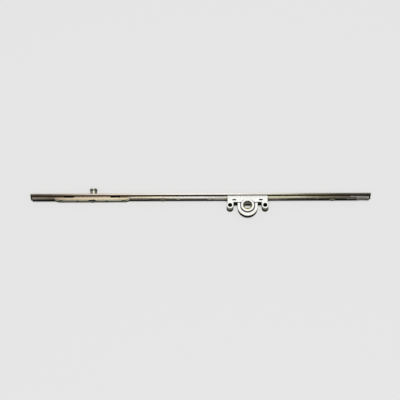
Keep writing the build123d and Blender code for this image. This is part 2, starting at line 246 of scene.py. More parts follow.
def makeSlotFloor(values):
    group, inside, outside = newGroup(
        "slotFloor",
        [("Place", "Vector", (0, 0, 0)), ("Facing", "Vector", (0, 0, 1)), ("Half", "Float", 5 * mm),
         ("Seam", "Float", 12.3 * mm)],
        [("Mask", "Float")],
    )
    place = axesOf(group, inside["Place"])
    below = mathNode(group, "SUBTRACT", inside["Half"], place["Z"])
    deep = mathNode(group, "GREATER_THAN", below, values["leastDepth"])
    rise = axesOf(group, inside["Facing"])["Z"]
    looksUp = mathNode(group, "GREATER_THAN", rise, values["leastRise"])
    behind = mathNode(group, "LESS_THAN", place["Y"], inside["Seam"])
    floor = mathNode(group, "MULTIPLY", mathNode(group, "MULTIPLY", deep, looksUp), behind)
    group.links.new(floor, outside["Mask"])
    return group


# Tint of a chromate layer along the strips, with painted light in it: a painted highlight over the middle
# of the edges and painted shade on the backs, from stops given by their place in X in millimetres
tintWander = {"scale": 45, "reach": 20 * mm}


def makeLengthTintAndLight(name, stops):
    group, inside, outside = newGroup(
        name,
        [("Place", "Vector", (0, 0, 0)), ("Wander", "Float", tintWander["reach"])],
        [("Color", "Color")],
    )
    noise = addNoise(group, inside["Place"], tintWander["scale"])
    centred = mathNode(group, "SUBTRACT", noise, 0.5)
    along = axesOf(group, inside["Place"])["X"]
    shifted = mathNode(group, "MULTIPLY_ADD", centred, inside["Wander"], along)
    place = addNode(group, "ShaderNodeMapRange")
    ends = {"From Min": stops[0][0] * mm, "From Max": stops[-1][0] * mm}
    setInputs(group, place, {"Value": shifted, **ends})
    group.links.new(colorRamp(group, place.outputs["Result"], stops), outside["Color"])
    return group


# Which of a strip's faces a point is on: its flat front, its flat back, or else a sheared edge
flatFacing = (0.55, 0.9)


def makeStripFace(limits):
    group, inside, outside = newGroup(
        "stripFace", [("Facing", "Vector", (0, 0, 1))], [("Front", "Float"), ("Back", "Float")]
    )
    forward = axesOf(group, inside["Facing"])["Y"]
    backward = mathNode(group, "MULTIPLY", forward, -1.0)
    group.links.new(smoothStep(group, forward, *limits), outside["Front"])
    group.links.new(smoothStep(group, backward, *limits), outside["Back"])
    return group


# Painted shade along the lower part of a strip's back, with a wavy upper limit
lowerShadeWave = {"scale": 130, "height": 1.2 * mm}


def makeLowerShade(values):
    group, inside, outside = newGroup(
        "lowerShade",
        [("Place", "Vector", (0, 0, 0)), ("Top", "Float", -1 * mm), ("Blur", "Float", 1.1 * mm)],
        [("Mask", "Float")],
    )
    noise = addNoise(group, inside["Place"], values["scale"])
    wave = mathNode(group, "MULTIPLY_ADD", noise, values["height"], -values["height"] / 2)
    limit = mathNode(group, "ADD", inside["Top"], wave)
    depth = mathNode(group, "SUBTRACT", limit, axesOf(group, inside["Place"])["Z"])
    share = mathNode(group, "DIVIDE", depth, inside["Blur"], clamp=True)
    group.links.new(share, outside["Mask"])
    return group


# Painted shade in the gap where the rod's front meets the faceplate's back
def makeSeamLine():
    group, inside, outside = newGroup(
        "seamLine",
        [("Place", "Vector", (0, 0, 0)), ("Seam", "Float", 12.3 * mm), ("Near", "Float", 0.3 * mm),
         ("Far", "Float", 0.8 * mm)],
        [("Mask", "Float")],
    )
    offset = mathNode(group, "SUBTRACT", axesOf(group, inside["Place"])["Y"], inside["Seam"])
    away = mathNode(group, "ABSOLUTE", offset)
    group.links.new(smoothStep(group, away, inside["Far"], inside["Near"]), outside["Mask"])
    return group


platingClouds = makePlatingClouds(cloudNoise)
rollingLines = makeRollingLines(lineNoise)
edgeBand = makeEdgeBand(bandNoise)
slotFloor = makeSlotFloor(slotLimits)
stripFace = makeStripFace(flatFacing)
lowerShade = makeLowerShade(lowerShadeWave)
seamLine = makeSeamLine()
print("node groups made")


def startMaterial(name, metallic=1.0):
    material = bpy.data.materials.new(name)
    material.use_nodes = True
    tree = material.node_tree
    shader = tree.nodes["Principled BSDF"]
    shader.inputs["Metallic"].default_value = metallic
    shader.inputs["Specular IOR Level"].default_value = 0    # painted shade, the greased slot floors and the table stay matt
    return material, tree, shader


def placeAndFacing(tree):
    coordinates = addNode(tree, "ShaderNodeTexCoord").outputs
    return coordinates["Object"], coordinates["Normal"]


def setGloss(tree, shader, mask, limits):
    # Roughness from the first limit where the mask is 0 to the second where it is 1
    low, high = limits
    rough = mathNode(tree, "MULTIPLY_ADD", mask, high - low, low)
    tree.links.new(rough, shader.inputs["Roughness"])


def setMetal(tree, shader, covered):
    # Metal shows where no painted shade is laid over it
    tree.links.new(mathNode(tree, "SUBTRACT", 1.0, covered), shader.inputs["Metallic"])


def finishBump(tree, shader, height, values):
    strength, distance = values
    bump = addNode(tree, "ShaderNodeBump")
    setInputs(tree, bump, {"Strength": strength, "Distance": distance, "Height": height})
    tree.links.new(bump.outputs["Normal"], shader.inputs["Normal"])


# Yellow chromated strips: their chromate colour changes along the length, as in the photograph, with a
# painted highlight over the middle of the edges and painted shade on the backs
yellowZinc = {
    "plateEdge": [
        (-266, (0.16, 0.14, 0.12)), (-240, (0.22, 0.17, 0.13)), (-212, (0.50, 0.40, 0.32)),
        (-165, (0.78, 0.66, 0.54)), (-80, (0.97, 0.93, 0.87)), (0, (0.96, 0.93, 0.88)),
        (45, (0.72, 0.69, 0.55)), (75, (0.34, 0.32, 0.23)), (110, (0.14, 0.13, 0.10)),
        (151, (0.13, 0.125, 0.11)),
    ],
    "rodEdge": [
        (-266, (0.24, 0.21, 0.17)), (-240, (0.18, 0.13, 0.09)), (-225, (0.26, 0.20, 0.14)),
        (-214, (0.62, 0.49, 0.40)), (-168, (0.96, 0.80, 0.63)), (-156, (0.26, 0.20, 0.14)),
        (-147, (0.40, 0.32, 0.22)), (-141, (0.78, 0.66, 0.49)), (-110, (0.96, 0.88, 0.68)),
        (-60, (0.98, 0.98, 0.94)), (-35, (0.80, 0.79, 0.72)), (30, (0.80, 0.77, 0.56)),
        (62, (0.72, 0.68, 0.49)), (88, (0.26, 0.24, 0.16)), (125, (0.12, 0.105, 0.085)),
    ],
    "plateBack": [
        (-266, (0.05, 0.035, 0.02)), (-165, (0.11, 0.075, 0.035)), (-50, (0.16, 0.15, 0.12)),
        (40, (0.08, 0.07, 0.04)), (151, (0.05, 0.04, 0.03)),
    ],
    "rodBack": [
        (-266, (0.20, 0.19, 0.17)), (-240, (0.07, 0.06, 0.045)), (-135, (0.06, 0.056, 0.034)),
        (-114, (0.05, 0.05, 0.032)), (-92, (0.30, 0.29, 0.22)), (-35, (0.42, 0.41, 0.35)),
        (38, (0.24, 0.22, 0.155)), (60, (0.045, 0.040, 0.027)), (100, (0.055, 0.049, 0.031)),
        (151, (0.06, 0.054, 0.042)),
    ],
    "front": [
        (-266, (0.46, 0.38, 0.26)), (-165, (0.62, 0.53, 0.36)), (-50, (0.74, 0.71, 0.60)),
        (40, (0.70, 0.67, 0.54)), (151, (0.48, 0.44, 0.34)),
    ],
    # Near black for painted shade on the strips' backs and in the seam, and on the slots' floors, which
    # are also greased
    "shadeAndGreaseColor": (0.013, 0.0125, 0.010),
    "shadeTop": 0.7 * mm,
    "seam": {"Near": 0.25 * mm, "Far": 0.68 * mm},
    "shadeAndGreaseShare": 0.92,
    "band": {"Width": 0.7 * mm, "Broken": 0.5},
    "bandShare": 0.6,
    "clouds": {"Patch": 70.0, "Speckle": 1100.0, "Clouded": (0.36, 0.26, 0.14)},
    "cloudAmount": 0.16,
    "cloudLossOnBack": 0.6,
    "lineShade": 0.34,
    "roughness": (0.32, 0.44),
    "edgeRoughness": 0.12,
    "lineRoughness": 0.10,
    "bump": (0.25, 0.04 * mm),
}
# The strap's greener plating, with the same painted highlight towards the middle of its edges and painted
# shade on its back
oliveZinc = dict(
    yellowZinc,
    shadeTop=-0.4 * mm,
    edge=[(-236, (0.40, 0.33, 0.24)), (-205, (0.66, 0.56, 0.40)), (-145, (0.78, 0.68, 0.47))],
    back=[(-236, (0.24, 0.22, 0.16)), (-205, (0.32, 0.30, 0.20)), (-145, (0.36, 0.35, 0.25))],
)
frontTint = makeLengthTintAndLight("frontTint", yellowZinc["front"])
plateEdgeTintAndHighlight = makeLengthTintAndLight("plateEdgeTintAndHighlight", yellowZinc["plateEdge"])
plateBackTintAndShade = makeLengthTintAndLight("plateBackTintAndShade", yellowZinc["plateBack"])
rodEdgeTintAndHighlight = makeLengthTintAndLight("rodEdgeTintAndHighlight", yellowZinc["rodEdge"])
rodBackTintAndShade = makeLengthTintAndLight("rodBackTintAndShade", yellowZinc["rodBack"])
strapEdgeTintAndHighlight = makeLengthTintAndLight("strapEdgeTintAndHighlight", oliveZinc["edge"])
strapBackTintAndShade = makeLengthTintAndLight("strapBackTintAndShade", oliveZinc["back"])
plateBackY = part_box("faceplate")[0].y    # the seam's oil lies here, and the castings' tenons start here


def stripMaterial(name, half, values, edgeGroup, backGroup, frontGroup):
    material, tree, shader = startMaterial(name)
    place, facing = placeAndFacing(tree)
    face = useGroup(tree, stripFace, Facing=facing)
    onEdge = useGroup(tree, edgeGroup, Place=place)["Color"]
    onBack = useGroup(tree, backGroup, Place=place)["Color"]
    onFront = useGroup(tree, frontGroup, Place=place)["Color"]
    tintAndPaintedLight = mixColor(tree, face["Front"], mixColor(tree, face["Back"], onEdge, onBack), onFront)
    amount = values["cloudAmount"]
    patchy = mathNode(tree, "MULTIPLY_ADD", face["Back"], -values["cloudLossOnBack"] * amount, amount)
    clouds = useGroup(tree, platingClouds, Place=place, Plain=tintAndPaintedLight, Amount=patchy, **values["clouds"])
    lines = useGroup(tree, rollingLines, Place=place)["Lines"]
    lineShade = mathNode(tree, "MULTIPLY_ADD", lines, values["lineShade"], 1 - values["lineShade"] / 2)
    lined = mixColor(tree, 1.0, clouds["Color"], lineShade, "MULTIPLY")
    band = useGroup(tree, edgeBand, Place=place, Half=half, **values["band"])["Mask"]
    low = useGroup(tree, lowerShade, Place=place, Top=values["shadeTop"])["Mask"]
    # Painted shade along the back's long edges and over its lower part
    edgeAndLowShade = mathNode(tree, "MAXIMUM", mathNode(tree, "MULTIPLY", band, values["bandShare"]), low)
    onStripBack = mathNode(tree, "MULTIPLY", edgeAndLowShade, face["Back"])
    seam = useGroup(tree, seamLine, Place=place, Seam=plateBackY, **values["seam"])["Mask"]
    floors = useGroup(tree, slotFloor, Place=place, Facing=facing, Half=half, Seam=plateBackY)["Mask"]
    # Painted shade in the seam, and painted shade on the greased slot floors
    seamShadeAndSlotGrease = mathNode(tree, "MULTIPLY", mathNode(tree, "MAXIMUM", seam, floors), values["shadeAndGreaseShare"])
    paintedShadeMask = mathNode(tree, "MAXIMUM", onStripBack, seamShadeAndSlotGrease)
    tree.links.new(mixColor(tree, paintedShadeMask, lined, values["shadeAndGreaseColor"]), shader.inputs["Base Color"])
    setMetal(tree, shader, paintedShadeMask)
    smooth, dull = values["roughness"]
    rough = mathNode(tree, "MULTIPLY_ADD", clouds["Mask"], dull - smooth, smooth)
    flat = mathNode(tree, "ADD", face["Front"], face["Back"])
    onEdges = values["edgeRoughness"]
    roughEdge = mathNode(tree, "MULTIPLY_ADD", flat, -onEdges, onEdges)
    roughBoth = mathNode(tree, "ADD", rough, roughEdge)
    roughLined = mathNode(tree, "MULTIPLY_ADD", lines, values["lineRoughness"], roughBoth)
    centred = mathNode(tree, "SUBTRACT", roughLined, values["lineRoughness"] / 2)
    tree.links.new(centred, shader.inputs["Roughness"])
    finishBump(tree, shader, lines, values["bump"])
    return material


# Cast zinc: fine satin surface, a little pitted, with painted shade: near black side walls, lighter up
# the bosses' sides, and darker in the recesses below its front face
castZinc = {
    "plain": (0.88, 0.88, 0.85),
    "clouded": (0.76, 0.76, 0.71),
    "sideShade": (0.022, 0.021, 0.017),
    "bossSideShade": (0.28, 0.28, 0.21),
    "recess": (0.024, 0.024, 0.020),
    "recessDepth": 0.6 * mm,
    "dullness": 1.0,
    "roughness": (0.40, 0.52),
}
connectorZinc = {
    "plain": (0.30, 0.29, 0.26),
    "clouded": (0.20, 0.19, 0.17),
    "sideShade": (0.025, 0.024, 0.020),
    "bossSideShade": (0.23, 0.222, 0.19),
    "recess": (0.20, 0.19, 0.17),
    "recessDepth": 40 * mm,
    "dullness": 0.0,
    "roughness": (0.36, 0.46),
}
castShading = {
    "clouds": {"Patch": 110.0, "Speckle": 2400.0, "Amount": 0.6},
    "sidePower": 3.0,
    "tenonBlur": 0.3 * mm,
    "bossX": 21.5 * mm,    # handle screws, 43 mm apart
    "bossSideways": (16.6 * mm, 17.6 * mm),
    "bossRadius": (2.9 * mm, 3.4 * mm),
    "bossHeight": (-3.5 * mm, 6.0 * mm),
    "recessShadeRise": 0.5,
    "recessShadeShare": 0.9,
    "bump": (0.35, 0.05 * mm),
}


def castMaterial(name, values, frontZ):
    material, tree, shader = startMaterial(name)
    place, facing = placeAndFacing(tree)
    clouds = useGroup(tree, platingClouds, Place=place, Plain=values["plain"],
                      Clouded=values["clouded"], **castShading["clouds"])
    at, rise = axesOf(tree, place), axesOf(tree, facing)["Z"]
    flatness = mathNode(tree, "POWER", mathNode(tree, "ABSOLUTE", rise), castShading["sidePower"])
    turned = mathNode(tree, "SUBTRACT", 1.0, flatness, clamp=True)
    free = smoothStep(tree, at["Y"], plateBackY + castShading["tenonBlur"], plateBackY)
    side = mathNode(tree, "MULTIPLY", turned, free)    # the tenons in the faceplate stay bright
    sideways = mathNode(tree, "ABSOLUTE", at["X"])
    outer = smoothStep(tree, sideways, *castShading["bossSideways"])
    upper = smoothStep(tree, at["Z"], *castShading["bossHeight"])
    fromAxis = addNode(tree, "ShaderNodeCombineXYZ")
    tree.links.new(mathNode(tree, "SUBTRACT", sideways, castShading["bossX"]), fromAxis.inputs["X"])
    tree.links.new(at["Y"], fromAxis.inputs["Y"])
    radius = addNode(tree, "ShaderNodeVectorMath", operation="LENGTH")
    tree.links.new(fromAxis.outputs[0], radius.inputs[0])
    outside = smoothStep(tree, radius.outputs["Value"], *castShading["bossRadius"])
    bossy = mathNode(tree, "MULTIPLY", mathNode(tree, "MULTIPLY", outer, outside), upper)
    # Painted shade on the side walls, less of it towards the top of the bosses
    sideShadeTone = mixColor(tree, bossy, values["sideShade"], values["bossSideShade"])
    sided = mixColor(tree, side, clouds["Color"], sideShadeTone)
    # Painted shade in the recesses that look up below the front face
    below = mathNode(tree, "SUBTRACT", frontZ, at["Z"])
    depth = mathNode(tree, "DIVIDE", below, values["recessDepth"], clamp=True)
    upward = mathNode(tree, "GREATER_THAN", rise, castShading["recessShadeRise"])
    recessed = mathNode(tree, "MULTIPLY", depth, upward)
    recessShade = mathNode(tree, "MULTIPLY", recessed, castShading["recessShadeShare"])
    tree.links.new(mixColor(tree, recessShade, sided, values["recess"]), shader.inputs["Base Color"])
    shadedSide = mathNode(tree, "MULTIPLY", side, mathNode(tree, "SUBTRACT", 1.0, bossy))
    dull = mathNode(tree, "MULTIPLY", mathNode(tree, "MAXIMUM", shadedSide, recessShade), values["dullness"])
    setMetal(tree, shader, dull)
    setGloss(tree, shader, clouds["Mask"], values["roughness"])
    finishBump(tree, shader, clouds["Fine"], castShading["bump"])
    return material


# Turned and riveted small parts: one plain colour range each
smallParts = {
    "studZinc": {
        "plain": (0.11, 0.10, 0.065), "clouded": (0.07, 0.06, 0.04), "roughness": (0.30, 0.42),
        "shadeTop": 0.5 * mm,
    },
    # Painted shade: the strap rivets and the washer are near black, as their shadow sides are
    "shadeDarkZinc": {
        "plain": (0.065, 0.065, 0.048), "clouded": (0.035, 0.035, 0.026), "roughness": (0.30, 0.42),
    },
    "darkZinc": {
        "plain": (0.15, 0.16, 0.11), "clouded": (0.09, 0.095, 0.06), "roughness": (0.24, 0.36),
        "innerEnd": (9.0 * mm, 8.5 * mm), "innerColor": (0.04, 0.04, 0.03),
    },
}
smallClouds = {"Patch": 260.0, "Speckle": 2600.0}
smallShading = {"amount": 0.8, "bump": (0.25, 0.04 * mm)}


def smallMaterial(name, values):
    material, tree, shader = startMaterial(name)
    place, facing = placeAndFacing(tree)
    clouds = useGroup(tree, platingClouds, Place=place, Plain=values["plain"],
                      Clouded=values["clouded"], Amount=smallShading["amount"], **smallClouds)
    shade = clouds["Color"]
    if "innerEnd" in values:
        inner = smoothStep(tree, axesOf(tree, place)["Y"], *values["innerEnd"])
        shade = mixColor(tree, inner, shade, values["innerColor"])
    if "shadeTop" in values:    # the painted shade on the rod's lower back covers the rivets there too
        low = useGroup(tree, lowerShade, Place=place, Top=values["shadeTop"])["Mask"]
        back = useGroup(tree, stripFace, Facing=facing)["Back"]
        paintedShadeMask = mathNode(tree, "MULTIPLY", low, back)
        shade = mixColor(tree, paintedShadeMask, shade, yellowZinc["shadeAndGreaseColor"])
        setMetal(tree, shader, paintedShadeMask)
    tree.links.new(shade, shader.inputs["Base Color"])
    setGloss(tree, shader, clouds["Mask"], values["roughness"])
    finishBump(tree, shader, clouds["Fine"], smallShading["bump"])
    return material


# Roller polished by the keeper: painted reflections round its side, light and dark bands from stops by
# the sideways share of the normal
rollerSteel = {
    "paintedReflections": [
        (-1.0, (0.30, 0.30, 0.25)), (-0.62, (0.42, 0.42, 0.37)), (-0.46, (0.05, 0.05, 0.04)),
        (-0.26, (0.05, 0.05, 0.04)), (-0.14, (0.86, 0.86, 0.80)), (0.26, (0.80, 0.80, 0.72)),
        (0.42, (0.17, 0.17, 0.11)), (0.85, (0.11, 0.11, 0.075)), (1.0, (0.04, 0.04, 0.03)),
    ],
    "clouded": (0.20, 0.20, 0.15),
    "amount": 0.25,
    "roughness": (0.16, 0.24),
    "bump": (0.2, 0.03 * mm),
}


def rollerMaterial(name, values):
    material, tree, shader = startMaterial(name)
    place, facing = placeAndFacing(tree)
    share = mathNode(tree, "MULTIPLY_ADD", axesOf(tree, facing)["X"], 0.5, 0.5)    # from -1..1 to 0..1
    paintedReflection = colorRamp(tree, share, values["paintedReflections"])
    clouds = useGroup(tree, platingClouds, Place=place, Plain=paintedReflection, Clouded=values["clouded"],
                      Amount=values["amount"], **smallClouds)
    tree.links.new(clouds["Color"], shader.inputs["Base Color"])
    setGloss(tree, shader, clouds["Mask"], values["roughness"])
    finishBump(tree, shader, clouds["Fine"], values["bump"])
    return material


# Pinion's hub: gold at the side away from the rod, painted shade on its side towards the rod, and painted
# shade deep in its square hole
goldHub = {
    "litGold": (0.36, 0.29, 0.045),
    "shadeAndCloudTone": (0.10, 0.095, 0.065),
    "wall": (0.16, 0.155, 0.12),
    "holeShade": (0.020, 0.020, 0.017),
    "holeShadeZ": -2.4 * mm,
    "holeShadeReach": (3.6 * mm, 2.16 * mm),
    "litFrom": (0.8 * mm, 2.4 * mm),
    "faceRise": (0.4, 0.7),
    "amount": 0.35,
    "roughness": (0.26, 0.38),
    "bump": (0.25, 0.04 * mm),
}


def hubMaterial(name, values):
    material, tree, shader = startMaterial(name)
    place, facing = placeAndFacing(tree)
    at = axesOf(tree, place)
    towards = mathNode(tree, "MULTIPLY", at["Y"], -1.0)
    litGold = smoothStep(tree, towards, *values["litFrom"])
    face = mixColor(tree, litGold, values["shadeAndCloudTone"], values["litGold"])
    rise = mathNode(tree, "ABSOLUTE", axesOf(tree, facing)["Z"])
    upright = smoothStep(tree, rise, *values["faceRise"])
    away = mathNode(tree, "ABSOLUTE", mathNode(tree, "SUBTRACT", at["Z"], values["holeShadeZ"]))
    ring = smoothStep(tree, away, *values["holeShadeReach"])
    wall = mixColor(tree, ring, values["wall"], values["holeShade"])
    toned = mixColor(tree, upright, wall, face)
    clouds = useGroup(tree, platingClouds, Place=place, Plain=toned, Clouded=values["shadeAndCloudTone"],
                      Amount=values["amount"], **smallClouds)
    tree.links.new(clouds["Color"], shader.inputs["Base Color"])
    setMetal(tree, shader, mathNode(tree, "MULTIPLY", ring, mathNode(tree, "SUBTRACT", 1.0, upright)))
    setGloss(tree, shader, clouds["Mask"], values["roughness"])
    finishBump(tree, shader, clouds["Fine"], values["bump"])
    return material


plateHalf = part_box("faceplate")[1].z
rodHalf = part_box("drive_rod_middle")[1].z
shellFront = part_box("gearbox_front_shell")[1].z
finishes = {
    "faceplateSteel": stripMaterial("faceplateSteel", plateHalf, yellowZinc, plateEdgeTintAndHighlight,
                                    plateBackTintAndShade, frontTint),
    "rodSteel": stripMaterial("rodSteel", rodHalf, yellowZinc, rodEdgeTintAndHighlight, rodBackTintAndShade, rodEdgeTintAndHighlight),
    "strapSteel": stripMaterial("strapSteel", rodHalf, oliveZinc, strapEdgeTintAndHighlight, strapBackTintAndShade,
                                strapEdgeTintAndHighlight),
    "castZinc": castMaterial("castZinc", castZinc, shellFront),
    "connectorZinc": castMaterial("connectorZinc", connectorZinc, shellFront),
    "rollerSteel": rollerMaterial("rollerSteel", rollerSteel),
    "goldHub": hubMaterial("goldHub", goldHub),
}
finishes.update({name: smallMaterial(name, values) for name, values in smallParts.items()})
nodeFinish = {
    "faceplate": "faceplateSteel",
    "guide_studs": "studZinc",
    "gearbox_front_shell": "castZinc",
    "gearbox_rear_shell": "castZinc",
    "drive_rod_left": "rodSteel",
    "drive_rod_middle": "rodSteel",
    "drive_rod_right": "rodSteel",
    "rack_bar": "rodSteel",
    "rack_joint_rivets": "studZinc",
    "rod_end_connector": "connectorZinc",
    "connector_rivet": "studZinc",
    "cam_strap": "strapSteel",
    "cam_base_plate": "rodSteel",
    "strap_rivets": "shadeDarkZinc",
    "base_plate_rivets": "darkZinc",
    "cam_washer": "shadeDarkZinc",
    "drive_pinion": "goldHub",
    "locking_cam": "darkZinc",
    "cam_roller": "rollerSteel",
}
for nodeName, finishName in nodeFinish.items():
    for slot in frame["nodes"][nodeName].material_slots:
        slot.material = finishes[finishName]
print("materials made:", len(finishes))


def addPiece(name, mesh, node):
    # A finished piece takes the place of its CAD node, on the same body
    piece = bpy.data.objects.new(name, mesh)
    bpy.context.scene.collection.objects.link(piece)
    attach(piece, frame["nodes"][node]["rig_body"])
    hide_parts(node)
    return piece


def mergedShape(mesh, distance):
    # A mesh for editing, with its loose triangles joined at their corners
    shape = bmesh.new()
    shape.from_mesh(mesh)
    bmesh.ops.remove_doubles(shape, verts=shape.verts, dist=distance)
    return shape


def smoothMesh(mesh, sharpAngle, node):
    mesh.polygons.foreach_set("use_smooth", np.ones(len(mesh.polygons), dtype=bool))
    mesh.set_sharp_from_angle(angle=radians(sharpAngle))
    mesh.materials.append(finishes[nodeFinish[node]])


# Rounded edges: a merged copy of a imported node, its flat faces joined again and its edges bevelled
roundedEdges = {
    "faceplate": {"name": "faceplate_rounded", "width": 0.12 * mm},
    "rod_end_connector": {"name": "connector_rounded", "width": 0.18 * mm},
    "cam_strap": {"name": "strap_rounded", "width": 0.25 * mm},
    "locking_cam": {"name": "cam_rounded", "width": 0.20 * mm},
}
mergeDistance = 0.001 * mm
sameFlatAngle = 0.5
bevelFromAngle = 30
bevelSegments = 3


def roundedCopy(node, values):
    mesh = frame["nodes"][node].data.copy()
    mesh.name = values["name"]
    shape = mergedShape(mesh, mergeDistance)
    bmesh.ops.dissolve_limit(shape, angle_limit=radians(sameFlatAngle), verts=shape.verts,
                             edges=shape.edges, use_dissolve_boundaries=False)
    for face in shape.faces:
        face.smooth = True
    shape.to_mesh(mesh)
    shape.free()
    piece = addPiece(values["name"], mesh, node)
    bevel = piece.modifiers.new("edges", "BEVEL")
    bevel.width = values["width"]
    bevel.segments = bevelSegments
    bevel.limit_method = "ANGLE"
    bevel.use_clamp_overlap = False    # one short edge would thin all the others
    bevel.angle_limit = radians(bevelFromAngle)
    bevel.harden_normals = True


for nodeName, values in roundedEdges.items():
    roundedCopy(nodeName, values)
print("rounded pieces made:", len(roundedEdges))


# Rounded rims of the two castings: the outlines of a casting's flat outer face, its holes among them,
# are carried inwards along a quarter circle
castRims = {
    "gearbox_front_shell": {"name": "front_shell_rounded", "side": 1, "width": 0.28 * mm},
    "gearbox_rear_shell": {"name": "rear_shell_rounded", "side": -1, "width": 0.28 * mm},
}
rimSteps = 4
rimRunOut = 0.05 * mm    # over which a rim ends against the faceplate
longestMitre = 2.0
leastOpening = 0.1    # of 1 + the cosine between two sides, so that a sharp corner's mitre stays finite
nearPlane = 0.001 * mm
rimMerge = 0.0001 * mm
castSharpAngle = 35
faceplateLimit = plateBackY - nearPlane


def allAtLevel(corners, level):
    return all(abs(corner.co.z - level) < nearPlane for corner in corners)


def splitAtFaceplate(shape, level):
    # An edge of the outer face that ends against the faceplate gets a corner just before its end
    crossing = []
    for edge in shape.edges:
        near, far = sorted(end.co.y for end in edge.verts)
        if allAtLevel(edge.verts, level) and near < faceplateLimit < far:
            crossing.append(edge)
    for edge in crossing:
        end = max(edge.verts, key=lambda corner: corner.co.y)
        bmesh.utils.edge_split(edge, end, min(0.5, rimRunOut / edge.calc_length()))
    bmesh.ops.triangulate(shape, faces=[face for face in shape.faces if len(face.verts) > 3])


def outerFace(shape, level):
    # The flat faces at a level, and their outlines as closed lists of corners. The faces are a
    # dictionary's keys because those keep the mesh's order, so that every run gives the same mesh.
    flat = dict.fromkeys(face for face in shape.faces if allAtLevel(face.verts, level))
    ahead = {}
    for face in flat:
        for loop in face.loops:
            if any(other not in flat for other in loop.edge.link_faces):
                ahead[loop.vert] = loop.link_loop_next.vert
    outlines = []
    while ahead:
        corner = next(iter(ahead))
        outline = []
        while corner in ahead:
            outline.append(corner)
            corner = ahead.pop(corner)
        outlines.append(outline)
    return flat, outlines


def rimGrid(outline, side, level, width):
    # Corner p with the inward mitre m goes to p + m w (1 - cos t), at the height level - w (1 - sin t),
    # for t from 0 to a quarter turn. Corners against the faceplate stay where they are.
    after = np.roll(outline, -1, axis=0) - outline
    after /= np.linalg.norm(after, axis=1, keepdims=True)
    inward = side * np.stack([-after[:, 1], after[:, 0]], axis=1)
    before = np.roll(inward, 1, axis=0)
    opening = 1 + (before * inward).sum(axis=1, keepdims=True)
    mitre = (before + inward) / opening.clip(leastOpening)
    length = np.linalg.norm(mitre, axis=1, keepdims=True)
    mitre *= np.minimum(1, longestMitre / length)
    turn = np.linspace(0, pi / 2, rimSteps + 1)[:, None]
    share = np.where(outline[:, 1] > faceplateLimit, 0.0, 1.0)[None, :]
    inset = (width * (1 - np.cos(turn)) * share)[:, :, None] * mitre[None, :, :]
    drop = width * (1 - np.sin(turn)) * share
    return np.concatenate([outline[None, :, :] + inset, (level - side * drop)[:, :, None]], axis=2)


def capFaces(rings, indices, points, side):
    # Triangles that close the outer face between the rims' last rows, turned to look outwards
    cap = np.concatenate(indices)[np.array(tessellate_polygon(rings))]
    first, second, third = points[cap].transpose(1, 0, 2)
    turned = np.cross(second - first, third - first)[:, 2] * side < 0
    cap[turned] = cap[turned][:, ::-1]
    return cap.tolist()


def rimmedCopy(node, values):
    side, width = values["side"], values["width"]
    low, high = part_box(node)
    level = high.z if side > 0 else low.z
    shape = mergedShape(frame["nodes"][node].data, mergeDistance)
    splitAtFaceplate(shape, level)
    flat, outlines = outerFace(shape, level)
    shape.verts.index_update()
    corners = [[corner.index for corner in outline] for outline in outlines]
    grids = [rimGrid(np.array([corner.co.xy for corner in outline]), side, level, width)
             for outline in outlines]
    points = np.array([corner.co for corner in shape.verts])
    faces = [[corner.index for corner in face.verts] for face in shape.faces if face not in flat]
    shape.free()
    capRings, capIndices = [], []
    for indices, grid in zip(corners, grids):
        points[indices] = grid[0]
        added = len(points) + np.arange(rimSteps * len(indices)).reshape(rimSteps, -1)
        points = np.concatenate([points, grid[1:].reshape(-1, 3)])
        rows = np.concatenate([np.array(indices)[None, :], added])
        beside = np.roll(rows, -1, axis=1)
        quads = np.stack([rows[:-1], beside[:-1], beside[1:], rows[1:]], axis=-1)
        faces += quads.reshape(-1, 4).tolist()
        capRings.append([Vector(place) for place in grid[-1]])
        capIndices.append(rows[-1])
    faces += capFaces(capRings, capIndices, points, side)
    mesh = bpy.data.meshes.new(values["name"])
    mesh.from_pydata(points.tolist(), [], faces)
    shape = mergedShape(mesh, rimMerge)    # the corners that stayed where they are
    shape.to_mesh(mesh)
    shape.free()
    smoothMesh(mesh, castSharpAngle, node)
    piece = addPiece(values["name"], mesh, node)
    evened = piece.modifiers.new("evened", "WEIGHTED_NORMAL")
    evened.keep_sharp = True


for nodeName, values in castRims.items():
    rimmedCopy(nodeName, values)
print("castings rounded:", len(castRims))


# Rivets, washer and roller: a profile of radius and place in Y, carried round each piece's own axis
turnedPieces = {
    "strap_rivets": {
        "name": "strap_rivets_turned", "pair": True, "shank": 2.0 * mm, "head": 0.5 * mm,
        "dome": 0.22 * mm, "edge": 0.18 * mm,
    },
    "guide_studs": {
        "name": "guide_studs_turned", "pair": True, "shank": 2.0 * mm, "head": 0.6 * mm,
        "dome": 0.16 * mm, "edge": 0.20 * mm,
    },
    "rack_joint_rivets": {
        "name": "rack_joint_rivets_turned", "pair": True, "dome": 0.14 * mm, "edge": 0.16 * mm,
    },
    "base_plate_rivets": {
        "name": "base_plate_rivets_turned", "pair": True, "dome": 0.10 * mm, "edge": 0.12 * mm,
    },
    "connector_rivet": {"name": "connector_rivet_turned", "dome": 0.14 * mm, "edge": 0.16 * mm},
    "cam_washer": {"name": "washer_turned", "bore": 2.55 * mm, "crown": 0.04 * mm, "edge": 0.14 * mm},
    "cam_roller": {"name": "roller_turned", "bore": 2.9 * mm, "crown": 0.12 * mm, "edge": 0.40 * mm},
}
turnSegments = 72
capSteps = 9
edgeSteps = 5
turnedSharpAngle = 40


